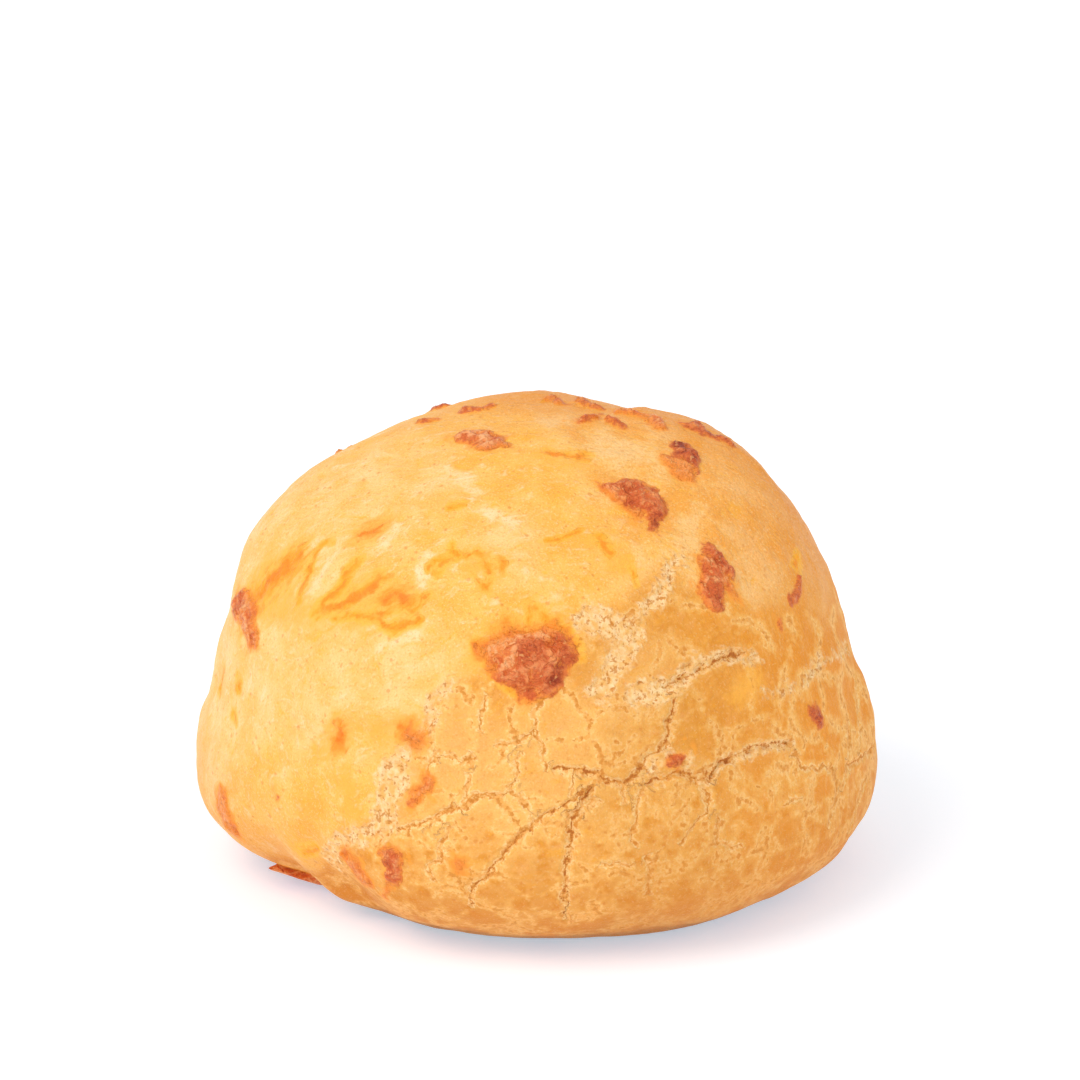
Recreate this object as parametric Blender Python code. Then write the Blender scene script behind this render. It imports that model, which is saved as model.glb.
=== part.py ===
"""Pao de queijo: one dome-shaped cheese bread, baked on a flat tray.

The bread is one solid. Its form is a turned outline, swollen and dented by hand-placed bulges. Lumps of
browned cheese stand out of it, and furrows show where the rising dough tore its crust open.

Places on the crust are given as (azimuth in degrees, distance in mm down the outline from the crown).
Azimuth 0 faces -Y, which is the front, and 90 faces +X. The origin is the middle of the flat base.
"""

import bmesh
import bpy
import numpy as np

MM = 0.001
HEIGHT = 43.4 * MM  # crown above the tray
BELLY_RADIUS = 31.9 * MM  # half of the greatest width, before the bulges

# The outline from the crown down to the edge of the flat base, as (radius / BELLY_RADIUS, height / HEIGHT).
OUTLINE = [
    (0.0, 1.0),
    (0.204, 0.986),
    (0.395, 0.947),
    (0.636, 0.855),
    (0.803, 0.728),
    (0.897, 0.576),
    (0.947, 0.419),
    (0.994, 0.283),
    (1.0, 0.166),
    (0.928, 0.074),
    (0.809, 0.018),
    (0.734, 0.0),
]
OUTLINE_STEPS = 24  # points that the smooth outline has between two of the ones above
SIDE_SHARE = 0.8  # share of the half turn from the crown to the middle of the base that the outline takes

GRID = 29  # squares along each edge of the cube that becomes the crust
LEVEL_BELOW = 12 * MM  # below this height the crust swells straight sideways

# (azimuth, distance down, spread in mm, rise in mm)
BULGES = [
    (-90, 20, 7, 1.0),
    (-88, 30, 6, 1.2),
    (-90, 41.5, 2.2, 0.7),
    (-93, 48.5, 2.2, 0.3),
    (-88, 54, 6, 1.0),
    (-75, 60, 6, -1.0),
    (-70, 57, 3, 0.5),
    (-60, 58, 3, -2.1),
    (-50, 59, 3, 0.8),
    (-42, 58, 3, -1.6),
    (-48, 62, 2.5, 1.1),
    (-56, 65, 4, -1.3),
    (-68, 66, 4, -2.2),
    (-45, 60, 7, -4.1),
    (-20, 62, 5, -1.6),
    (0, 61.5, 8, -3.1),
    (20, 60.5, 5, -1.5),
    (45, 60, 7, -1.4),
    (75, 61, 5, -0.4),
    (90, 20, 7, 2.1),
    (90, 30, 7, -0.5),
    (101, 25.5, 3, -0.4),
    (86, 43, 2, 0.4),
    (84, 47.5, 3, 0.6),
    (-165, 10, 4, 0.2),
    (-140, 16, 7, 0.3),
    (180, 16, 8, 1.0),
    (114, 10, 3, 0.3),
    (114, 16.5, 3, 0.7),
]

# Browned cheese: (azimuth, distance down, spread in mm, rise in mm)
CHEESE = [
    (-2, 31, 2.8, 0.9),
    (34, 15, 1.6, 0.5),
    (38, 18, 1.6, 0.5),
    (44, 26, 2.0, 0.6),
    (75, 14, 1.3, 0.5),
    (-58, 7, 1.8, 0.3),
    (102, 8, 1.5, 0.4),
    (-76, 35, 1.8, 0.4),
    (-72, 64.5, 1.6, 3.2),
    (-25, 52, 1.8, 0.4),
    (160, 30, 2.2, 0.6),
    (-150, 38, 2.6, 0.7),
]

TEAR_SPREAD = 1.2  # mm
TEAR_DEPTH = 0.8  # mm

# Each tear's route: (azimuth, distance down) of its points
TEARS = [
    [(-17, 34), (-20, 38), (-25, 41), (-27, 47), (-38, 51), (-43, 54)],
    [(10, 27), (19, 29), (15, 32), (11, 34)],
    [(19, 29), (28, 26), (35, 23)],
    [(18, 35), (32, 33), (45, 34)],
    [(150, 40), (165, 44), (172, 50)],
]


def smooth_outline():
    """The outline as a Catmull-Rom curve: its (radius, height) points, and how far along it each one lies."""
    given = np.array(OUTLINE) * (BELLY_RADIUS, HEIGHT)
    before = given[1] * (-1, 1)
    after = 2 * given[-1] - given[-2]
    knots = np.vstack([before, given, after])
    step = np.linspace(0, 1, OUTLINE_STEPS, endpoint=False)[:, None]
    runs = []
    for a, b, c, d in zip(knots, knots[1:], knots[2:], knots[3:]):
        linear = (c - a) * step
        square = (2 * a - 5 * b + 4 * c - d) * step**2
        cube = (3 * b - a - 3 * c + d) * step**3
        runs.append(b + 0.5 * (linear + square + cube))
    points = np.vstack([*runs, given[-1:]])
    lengths = np.linalg.norm(np.diff(points, axis=0), axis=1)
    return points, np.concatenate([[0], np.cumsum(lengths)])


def turned(azimuth, down):
    """Points of the turned form at azimuths in radians and distances down the outline in metres.

    Past the outline's end they lie on the flat base, nearer its middle.
    """
    points, along = smooth_outline()
    radius = np.interp(down, along, points[:, 0])
    height = np.interp(down, along, points[:, 1])
    radius = radius - np.maximum(down - along[-1], 0)
    return np.stack([radius * np.sin(azimuth), -radius * np.cos(azimuth), height], axis=-1)


def place(azimuth, down):
    """The point of the turned form at a place given in degrees and mm."""
    return turned(np.radians(azimuth), down * MM)


def hill(distance, spread):
    """A smooth hill: 1 at its middle, falling to almost nothing at three times its spread."""
    return np.exp(-0.5 * (distance / spread) ** 2)


def distance_to_route(points, route):
    """How far each point is from the line through a route's places."""
    stops = [place(*stop) for stop in route]
    nearest = np.full(len(points), np.inf)
    for start, end in zip(stops, stops[1:]):
        run = end - start
        share = np.clip((points - start) @ run / (run @ run), 0, 1)
        distance = np.linalg.norm(points - start - share[:, None] * run, axis=1)
        nearest = np.minimum(nearest, distance)
    return nearest


def rises(points):
    """How far each point of the turned form moves out of it, in metres."""
    rise = np.zeros(len(points))
    for azimuth, down, spread, height in BULGES + CHEESE:
        distance = np.linalg.norm(points - place(azimuth, down), axis=1)
        rise += height * MM * hill(distance, spread * MM)
    for route in TEARS:
        rise -= TEAR_DEPTH * MM * hill(distance_to_route(points, route), TEAR_SPREAD * MM)
    return rise


def swollen(points):
    """The turned form's points moved by their rises: straight sideways low down, and more upwards above."""
    outward = points.copy()
    outward[:, 2] = np.maximum(points[:, 2] - LEVEL_BELOW, 0)
    length = np.linalg.norm(outward, axis=1, keepdims=True)
    return points + outward / np.maximum(length, MM) * rises(points)[:, None]


def crust_points(directions):
    """The bread's surface for unit directions: straight up is the crown, straight down the base's middle."""
    _, along = smooth_outline()
    side = along[-1]
    base = BELLY_RADIUS * OUTLINE[-1][0]
    azimuth = np.arctan2(directions[:, 0], -directions[:, 1])
    share = np.arccos(np.clip(directions[:, 2], -1, 1)) / np.pi
    on_side = side * share / SIDE_SHARE
    on_base = side + base * (share - SIDE_SHARE) / (1 - SIDE_SHARE)
    return swollen(turned(azimuth, np.where(share < SIDE_SHARE, on_side, on_base)))


def even_sphere():
    """A sphere of nearly equal squares, made from a cube."""
    shell = bmesh.new()
    bmesh.ops.create_cube(shell, size=2)
    bmesh.ops.subdivide_edges(shell, edges=shell.edges[:], cuts=GRID - 1, use_grid_fill=True)
    for vertex in shell.verts:
        vertex.co = [np.tan(part * np.pi / 4) for part in vertex.co]
        vertex.co.normalize()
    return shell


def make_crust_material():
    material = bpy.data.materials.new("crust")
    material.use_nodes = True
    shader = material.node_tree.nodes["Principled BSDF"]
    shader.inputs["Base Color"].default_value = (0.84, 0.41, 0.1, 1)
    shader.inputs["Roughness"].default_value = 0.55
    shader.inputs["Metallic"].default_value = 0.0
    return material


def make_bread():
    shell = even_sphere()
    directions = np.array([vertex.co for vertex in shell.verts])
    for vertex, point in zip(shell.verts, crust_points(directions)):
        vertex.co = point
    mesh = bpy.data.meshes.new("bread")
    shell.to_mesh(mesh)
    shell.free()
    mesh.shade_smooth()
    mesh.materials.append(make_crust_material())
    return bpy.data.objects.new("bread", mesh)


def main():
    for old in list(bpy.data.objects):
        bpy.data.objects.remove(old)
    collection = bpy.data.collections.new("pao_de_queijo")
    bpy.context.scene.collection.children.link(collection)
    collection.objects.link(make_bread())


main()
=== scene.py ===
"""The looks of a pao de queijo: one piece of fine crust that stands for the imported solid.

Places on the crust are given as (azimuth in degrees, distance in mm down the outline from the crown).
Azimuth 0 faces -Y, which is the front, and 90 faces +X. Lengths inside the script are in mm.
"""

import itertools
from types import SimpleNamespace

import bpy
import numpy as np
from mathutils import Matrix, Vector


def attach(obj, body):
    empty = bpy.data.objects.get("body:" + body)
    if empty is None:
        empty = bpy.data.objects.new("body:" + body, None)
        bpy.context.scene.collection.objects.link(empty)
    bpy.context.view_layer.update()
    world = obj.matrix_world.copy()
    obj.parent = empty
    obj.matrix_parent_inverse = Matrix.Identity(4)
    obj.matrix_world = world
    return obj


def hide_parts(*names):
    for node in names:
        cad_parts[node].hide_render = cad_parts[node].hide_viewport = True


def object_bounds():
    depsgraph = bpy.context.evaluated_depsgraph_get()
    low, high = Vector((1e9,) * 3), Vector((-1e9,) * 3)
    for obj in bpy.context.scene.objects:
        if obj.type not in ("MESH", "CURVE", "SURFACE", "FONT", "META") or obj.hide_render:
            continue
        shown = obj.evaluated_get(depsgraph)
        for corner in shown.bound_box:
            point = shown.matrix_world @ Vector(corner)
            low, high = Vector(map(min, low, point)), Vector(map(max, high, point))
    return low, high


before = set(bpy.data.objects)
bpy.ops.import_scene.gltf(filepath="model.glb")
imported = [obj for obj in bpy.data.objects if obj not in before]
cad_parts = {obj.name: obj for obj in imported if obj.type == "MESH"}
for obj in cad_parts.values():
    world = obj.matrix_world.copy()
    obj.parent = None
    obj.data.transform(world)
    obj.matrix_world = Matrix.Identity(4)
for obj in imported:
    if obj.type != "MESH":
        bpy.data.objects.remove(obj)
cad_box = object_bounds()

MM = 0.001
HEIGHT = 43.4
BELLY_RADIUS = 31.9

# Bulges and relief push away from the axis at this height, and level below it, so the base stays flat.
LEVEL_BELOW = 12

# The outline from the crown down to the edge of the flat base, as (radius / BELLY_RADIUS, height / HEIGHT).
OUTLINE = [
    (0.0, 1.0), (0.204, 0.986), (0.395, 0.947), (0.636, 0.855), (0.803, 0.728), (0.897, 0.576),
    (0.947, 0.419), (0.994, 0.283), (1.0, 0.166), (0.928, 0.074), (0.809, 0.018), (0.734, 0.0),
]
POINTS_PER_STRETCH = 24

# How much of the way from the top of a sphere to its bottom becomes the side. The rest becomes the flat base.
SIDE_SHARE = 0.8

# Swellings and dents of the turned form: (azimuth, distance down, spread, rise)
BULGES = [
    (-90, 20, 7, 1.0), (-88, 30, 6, 1.2), (-90, 41.5, 2.2, 0.7), (-93, 48.5, 2.2, 0.3),
    (-88, 54, 6, 1.0), (-75, 60, 6, -1.0), (-70, 57, 3, 0.5), (-60, 58, 3, -2.1), (-50, 59, 3, 0.8),
    (-42, 58, 3, -1.6), (-48, 62, 2.5, 1.1), (-56, 65, 4, -1.3), (-68, 66, 4, -2.2),
    (-45, 60, 7, -4.1), (-20, 62, 5, -1.6), (0, 61.5, 8, -3.1), (20, 60.5, 5, -1.5),
    (45, 60, 7, -1.4), (75, 61, 5, -0.4), (90, 20, 7, 2.1), (90, 30, 7, -0.5), (101, 25.5, 3, -0.4),
    (86, 43, 2, 0.4), (84, 47.5, 3, 0.6), (85, 49.4, 0.8, -0.6), (-86, 43.8, 0.9, -0.4),
    (-165, 10, 4, 0.2), (-140, 16, 7, 0.3), (180, 16, 8, 1.0), (114, 10, 3, 0.3),
    (114, 16.5, 3, 0.7),
]


# ---------------- the turned form


def smooth_outline():
    """The outline as a Catmull-Rom curve: its (radius, height) points, and how far along it each one lies."""
    given = np.array(OUTLINE) * (BELLY_RADIUS, HEIGHT)
    before = given[1] * (-1, 1)
    after = 2 * given[-1] - given[-2]
    knots = np.vstack([before, given, after])
    step = np.linspace(0, 1, POINTS_PER_STRETCH, endpoint=False)[:, None]
    runs = []
    for a, b, c, d in zip(knots, knots[1:], knots[2:], knots[3:]):
        linear = (c - a) * step
        square = (2 * a - 5 * b + 4 * c - d) * step**2
        cube = (3 * b - a - 3 * c + d) * step**3
        runs.append(b + 0.5 * (linear + square + cube))
    points = np.vstack([*runs, given[-1:]])
    lengths = np.linalg.norm(np.diff(points, axis=0), axis=1)
    return points, np.concatenate([[0], np.cumsum(lengths)])


SIDE, SIDE_ALONG = smooth_outline()


def turned(azimuth, down):
    """Points of the turned form at azimuths in radians and distances down the outline."""
    radius = np.interp(down, SIDE_ALONG, SIDE[:, 0]) - np.maximum(down - SIDE_ALONG[-1], 0)
    height = np.interp(down, SIDE_ALONG, SIDE[:, 1])
    return np.stack([radius * np.sin(azimuth), -radius * np.cos(azimuth), height], axis=-1)


def place(azimuth, down):
    """The point of the turned form at a place given in degrees and mm."""
    return turned(np.radians(azimuth), down)


def azimuth_degrees(points):
    return np.degrees(np.arctan2(points[:, 0], -points[:, 1]))


def polar(directions):
    """Azimuth in radians and distance down for unit directions, straight up being the crown."""
    azimuth = np.arctan2(directions[:, 0], -directions[:, 1])
    share = np.arccos(np.clip(directions[:, 2], -1, 1)) / np.pi
    on_side = SIDE_ALONG[-1] * share / SIDE_SHARE
    on_base = SIDE_ALONG[-1] + SIDE[-1, 0] * (share - SIDE_SHARE) / (1 - SIDE_SHARE)
    return azimuth, np.where(share < SIDE_SHARE, on_side, on_base)


def hill(distance, spread):
    return np.exp(-0.5 * (distance / spread) ** 2)


def around(points, azimuth, down, spread):
    """1 at a place on the crust, falling to 0 over a few times the spread in mm."""
    return hill(np.linalg.norm(points - place(azimuth, down), axis=1), spread)


def bulge_rise(points):
    return sum(rise * around(points, *spot) for *spot, rise in BULGES)


def outward_of(points):
    """The direction in which each point is pushed."""
    outward = points.copy()
    outward[:, 2] = np.maximum(points[:, 2] - LEVEL_BELOW, 0)
    return outward / np.maximum(np.linalg.norm(outward, axis=1, keepdims=True), 1)


# ---------------- the mesh

# The mesh starts as a cube with this many cells along an edge, and its long edges are split in rounds.
CUBE_CELLS = 62
SPLITTING_ROUNDS = 3


def even_sphere(grid):
    """Unit directions and triangles of a sphere made from a cube."""
    steps = np.tan(np.linspace(-1, 1, grid + 1) * np.pi / 4)
    a, b = [g.ravel() for g in np.meshgrid(steps, steps, indexing="ij")]
    one = np.ones_like(a)
    sides = []
    for axis, sign in itertools.product(range(3), (1, -1)):
        parts = [None] * 3
        parts[axis] = sign * one
        parts[(axis + 1) % 3] = a * sign
        parts[(axis + 2) % 3] = b
        sides.append(np.stack(parts, axis=1))
    corner = np.arange(grid * (grid + 1)).reshape(grid, grid + 1)[:, :-1].ravel()
    quad = np.stack([corner, corner + grid + 1, corner + grid + 2, corner + 1], axis=1)
    faces = np.vstack([quad + k * (grid + 1) ** 2 for k in range(6)])
    points = np.vstack(sides)
    points /= np.linalg.norm(points, axis=1, keepdims=True)
    _, first, same = np.unique(np.round(points, 6), axis=0, return_index=True, return_inverse=True)
    points = points[first]
    faces = same.ravel()[faces]
    return points, np.vstack([faces[:, [0, 1, 2]], faces[:, [0, 2, 3]]])


def split_long_edges(directions, triangles, wanted):
    """Splits, once, each edge that is longer than the length wanted there."""
    ends = np.sort(triangles[:, [[0, 1], [1, 2], [2, 0]]], axis=2)
    key = ends[..., 0] * len(directions) + ends[..., 1]
    key, same = np.unique(key, return_inverse=True)
    same = same.reshape(-1, 3)
    a, b = key // len(directions), key % len(directions)
    middle = directions[a] + directions[b]
    middle /= np.linalg.norm(middle, axis=1, keepdims=True)
    at = turned(*polar(directions))
    length = np.linalg.norm(at[a] - at[b], axis=1)
    long = length > wanted(turned(*polar(middle)))
    new = np.full(len(key), -1)
    new[long] = len(directions) + np.arange(long.sum())
    mid = new[same]
    count = (mid >= 0).sum(axis=1)
    # turn each triangle so that the split edge is its first, or the two split edges its first two
    turn = np.zeros(len(triangles), int)
    one = count == 1
    turn[one] = np.argmax(mid[one] >= 0, axis=1)
    two = count == 2
    turn[two] = (np.argmax(mid[two] < 0, axis=1) + 1) % 3
    order = (np.arange(3) + turn[:, None]) % 3
    tri = np.take_along_axis(triangles, order, axis=1)
    mid = np.take_along_axis(mid, order, axis=1)
    p, q, r = tri.T
    x, y, z = mid.T

    def rows(which, *corners):
        return np.stack([c[which] for c in corners], axis=1)

    three = count == 3
    parts = [
        triangles[count == 0],
        rows(one, p, x, r),
        rows(one, x, q, r),
        rows(two, x, q, y),
        rows(two, p, x, r),
        rows(two, x, y, r),
        rows(three, p, x, z),
        rows(three, x, q, y),
        rows(three, z, y, r),
        rows(three, x, y, z),
    ]
    return np.vstack([directions, middle[long]]), np.vstack(parts)


# ---------------- what is on the crust

# Lumps of browned cheese: (half width, rise, how browned, where 1 is dark, route)
LUMPS = [
    (2.3, 0.9, 0.25, [(-6.5, 30.6), (-3.5, 30.6), (0, 30.8)]),
    (1.9, 0.9, 0.8, [(0, 30.6), (3.5, 30.9)]),
    (2.0, 0.8, 0.85, [(-4, 32), (-2, 32.4), (0.5, 32.4)]),
    (1.1, 1.1, 1.6, [(-2, 30.5), (0.3, 31.5), (3, 31.9)]),
    (0.9, 0.6, 0.2, [(-2.5, 28.9), (3.5, 29.2)]),
    (0.45, 0.3, 0.1, [(-12, 30.3), (-8, 30.3)]),
    (0.35, 0.35, 0.1, [(-7, 27.8), (-5, 28.8)]),
    (0.3, 0.3, 0.1, [(3, 27.5), (4.5, 28.6)]),
    (0.9, 0.2, 0.4, [(-1.5, 33.5), (-2.5, 34.5)]),
    (1.3, 0.6, 0.7, [(30.5, 13.4), (36.5, 13.7)]),
    (1.8, 0.5, 0.55, [(35.5, 14.2), (40.5, 15), (39, 16.2)]),
    (1.3, 0.6, 1.0, [(42, 16.4), (38.5, 17.6)]),
    (0.75, 0.3, 1.2, [(38.5, 18), (35.4, 19.5)]),
    (0.9, 0.2, 0.2, [(30, 14.6), (33.5, 16.6)]),
    (1.3, 0.5, 0.85, [(47, 23.8), (46.8, 25.4)]),
    (1.5, 0.4, 0.45, [(43, 24.8), (41.6, 26.4)]),
    (1.0, 0.3, 0.9, [(43, 26.4), (40.4, 27.8)]),
    (0.8, 0.2, 0.2, [(44.6, 26.2), (45.4, 27.6)]),
    (1.1, 0.5, 1.2, [(77, 13.2), (72.5, 14.2)]),
    (0.7, 0.4, 0.8, [(73, 14.6), (69, 15.2)]),
    (1.0, 0.1, 0.1, [(65, 13.6), (63.5, 15.4)]),
    (1.6, 0.35, 0.4, [(-69.5, 7), (-48.5, 6)]),
    (0.6, 0.2, 0.5, [(-45.5, 6), (-27.5, 6)]),
    (0.7, 0.3, 0.5, [(-113.5, 12), (-113, 11)]),
    (0.7, 0.3, 0.5, [(-125.5, 8.5), (-137.5, 7)]),
    (0.7, 0.4, 0.5, [(173, 7), (160, 6)]),
    (0.7, 0.4, 0.7, [(151.5, 8), (126, 7)]),
    (0.6, 0.5, 0.8, [(95.5, 3.5), (109.5, 6), (90.5, 7.5)]),
    (0.9, 0.4, 0.4, [(115, 9), (102.5, 10.5), (90, 11)]),
    (0.8, 0.3, 0.9, [(101, 14), (99, 15.5), (95.5, 17.5)]),
    (0.6, 0.2, 0.9, [(68, 29.5), (65, 30.5)]),
    (0.6, 0.0, 1.0, [(64, 31), (62.5, 31)]),
    (0.45, 0.1, 0.6, [(56, 32), (56, 32.2)]),
    (1.0, 0.2, 0.9, [(58.5, 40.6), (60, 42)]),
    (0.7, 0.3, 0.7, [(23.5, 41.6), (26, 41)]),
    (1.3, 0.4, 0.25, [(-79, 34.2), (-75, 34), (-71.3, 34.3)]),
    (0.5, 0.1, 1.2, [(-78, 33.7), (-76, 34)]),
    (1.4, 0.3, 0.3, [(-72.2, 34.8), (-69, 35.6)]),
    (1.4, 0.2, 0.65, [(-26.3, 50.9), (-25.6, 52.6)]),
    (0.5, 0.1, 0.2, [(-26.5, 54), (-29, 56)]),
    (1.3, 0.1, 0.15, [(-35, 52.8), (-33.8, 54)]),
    (1.1, 0.1, 0.2, [(-71, 52), (-70.3, 53.5), (-69.8, 54.8)]),
    (0.4, 0.1, 0.5, [(-53, 48.5), (-53, 48.7)]),
    (0.7, -0.1, 0.3, [(-20.3, 42.5), (-20.8, 44), (-22, 45.2)]),
    (0.9, 0.15, 0.0, [(-23.8, 38.5), (-22, 39.3)]),
    (0.7, -0.1, 0.2, [(-14, 50.5), (-14, 50.7)]),
    (2.0, 2.0, 0.5, [(-71, 62.6), (-69, 63), (-66.5, 63.6)]),
]

# Clear cheese that melted into the crust: (half width, how warm its colour is from 0 to 1, route)
MELTS = [
    (2.0, 0.6, [(-73.5, 32.7), (-69.5, 30.2), (-66.3, 27.4)]),
    (0.5, 0.3, [(-57.5, 30.2), (-59.5, 27.5), (-61.5, 24.8), (-59.5, 23.8)]),
    (0.75, 0.2, [(-51, 30.2), (-49.5, 28.5), (-47.5, 26.8), (-48, 24.5)]),
    (1.0, 0.5, [(-48, 29.5), (-43.5, 28), (-40, 26.8), (-38.5, 25.2)]),
    (1.3, 0.9, [(-35, 27.5), (-33, 26.5), (-29.5, 26.8)]),
    (0.5, 0.2, [(-45.5, 30.2), (-35, 28.5), (-28.5, 27.5), (-25.5, 25.8)]),
    (0.7, 0.1, [(-37, 29.2), (-31, 29.5), (-26.5, 28.2)]),
    (0.6, 0.2, [(-28, 23), (-25.5, 22)]),
    (1.1, 1.0, [(-52, 21.8), (-50.5, 21), (-49, 20)]),
    (0.5, 0.1, [(-25, 20.5), (-21.5, 21.8)]),
    (0.5, 0.5, [(-19, 21.5), (-16.5, 20.8), (-13.5, 22.2), (-12, 23), (-12.5, 24.8), (-15, 23.8)]),
    (0.5, 0.7, [(-12.5, 21), (-10, 21.5), (-8.5, 22.8)]),
    (0.6, 0.4, [(-13.2, 30), (-9.5, 30), (-7.5, 29.5)]),
    (0.5, 0.5, [(-7.5, 27.3), (-5, 28.2), (-3, 28.8)]),
    (0.6, 0.4, [(-2.5, 28), (-1.5, 26), (1.5, 27.3), (4.5, 28), (7, 29.5), (8, 31)]),
    (0.6, 0.3, [(-10.5, 31.2), (-6.5, 33.2), (-3.5, 33.8)]),
    (0.8, 0.5, [(7.5, 6.5), (22, 8), (32, 8)]),
    (0.6, 0.3, [(17.5, 19), (19, 21)]),
    (0.4, 0.3, [(23.5, 23), (23, 24.5)]),
    (0.4, 0.2, [(3.5, 19), (13, 18)]),
    (0.6, 0.3, [(-71, 40), (-71, 41)]),
    (0.6, 0.3, [(-71.5, 43.5), (-70, 44)]),
    (0.7, 0.4, [(-81, 43), (-80.5, 41)]),
    (0.7, 0.2, [(72.5, 28), (70, 28.5)]),
    (1.0, 1.0, [(-38.8, 41.2), (-38.2, 40.4), (-37.9, 39.6)]),
    (1.1, 1.0, [(-25.8, 38.4), (-23.2, 38.9)]),
    (0.9, 0.9, [(-72.5, 60.5), (-67, 61)]),
    (0.6, 0.2, [(-24, 22), (-25, 23.5)]),
    (0.6, 0.2, [(-31.5, 16), (-28, 15.5)]),
    (0.6, 0.2, [(-49.5, 54), (-45, 53)]),
]

# Soft golden stains that cheese left in the dough: (half width, route)
STAINS = [
    (2.4, [(-75, 33), (-70, 30), (-65, 27)]),
    (1.8, [(-71, 33), (-64, 31.5), (-57, 30.5)]),
    (1.5, [(-52, 30.5), (-46, 29.5), (-38, 29)]),
    (1.5, [(-42, 42), (-38.5, 40.3)]),
    (1.4, [(-30, 39.2), (-24, 38.3)]),
    (1.7, [(-46, 28), (-39, 27), (-30, 27.5)]),
    (1.2, [(-36.5, 44), (-34.5, 47)]),
    (1.3, [(40, 36.5), (44, 36)]),
    (1.2, [(-53, 22.5), (-49, 20)]),
    (1.2, [(-12, 31), (-7, 28.5), (1, 27), (7, 30)]),
    (1.4, [(-50, 53.5), (-45, 53)]),
    (1.3, [(-17, 22), (-12, 22.5)]),
    (1.3, [(8, 7.5), (22, 9)]),
    (1.2, [(18, 19.5), (21, 22)]),
]

# Soft folds in the dough: (half width, rise, route)
FOLDS = [
    (0.8, 0.25, [(-46, 39.8), (-34.5, 37.5), (-22, 36)]),
    (0.9, -0.25, [(-44, 41.8), (-34.5, 39.8), (-24, 38)]),
    (1.0, 0.2, [(-53.5, 31.5), (-44, 30.8), (-33, 31)]),
    (0.8, 0.2, [(-54, 29), (-53, 26), (-52.5, 24)]),
    (0.8, 0.2, [(-44, 26.5), (-42, 24.5), (-38, 23)]),
    (1.2, 0.2, [(-22, 28), (-18, 26), (-16, 25.5)]),
    (1.5, 0.2, [(24, 20), (27, 25), (33, 21)]),
]

# Where the crust is palest: (azimuth, distance down, spread)
PALE = [
    (-62, 17, 6), (-88, 32, 7), (-55, 36, 6), (-30, 33, 5), (-80, 46, 6), (-8, 19, 3), (20, 33, 4),
    (-14, 41, 5), (3, 41, 4),
]

# Where the crust is toasted at its far edges: (azimuth, distance down, spread, how much)
TOASTED = [
    (104, 16, 5, 0.8),
    (100, 26, 4, 1.0),
    (140, 12, 5, 1.0),
    (-170, 9, 5, 1.0),
    (84, 28, 6, 0.75),
    (62, 24.5, 5, 0.4),
]

# Painted highlights: pale streaks of sheen on the smooth dough: (half width, route)
PAINTED_SHEEN_STREAKS = [
    (1.0, [(-66, 26.8), (-65, 25.5), (-63.5, 24.8)]),
    (0.8, [(-56.5, 28.8), (-55.5, 27), (-55, 25.5)]),
    (0.6, [(-46.5, 30.5), (-44.5, 29.5), (-41.5, 28.5)]),
    (0.6, [(-42, 28), (-40, 27.5), (-38.5, 27)]),
    (1.0, [(-44.5, 22.5), (-43.5, 21.2), (-43.5, 20)]),
    (0.8, [(-28, 25), (-28.5, 23.5), (-29, 22.2)]),
    (0.6, [(-32.5, 32.2), (-29, 30.5), (-25.5, 29.5)]),
    (1.0, [(-47, 11.8), (-36, 12.2), (-26, 13.5)]),
    (0.8, [(-18.5, 15.5), (-13, 16.2), (-8.5, 17)]),
]

# Tears down to the pale crumb: (half width, route)
TEARS = [
    (0.7, [(-17.5, 34), (-20, 35.5), (-20.5, 38), (-25, 41)]),
    (1.4, [(-26, 42.5), (-26.5, 45), (-28.5, 48)]),
    (0.8, [(-28.5, 48), (-36, 50.5), (-42.5, 54)]),
    (1.4, [(10, 27.5), (19.5, 29)]),
    (1.1, [(19.5, 29), (15, 32), (11.5, 34)]),
    (0.6, [(19.5, 29), (28, 26), (35.5, 23)]),
    (0.9, [(18, 35), (25.5, 34.5), (32, 33)]),
    (0.4, [(32, 33), (38.5, 33), (45.5, 34)]),
    (0.3, [(57.5, 38), (63.5, 37.5), (69, 37.5), (84, 39.5)]),
    (0.3, [(46, 37), (50.5, 38), (54, 38)]),
    (0.5, [(18.5, 42), (23.5, 40), (27, 42)]),
    (0.4, [(30, 43.5), (34, 42.5), (39, 42), (50.5, 43)]),
]

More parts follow.
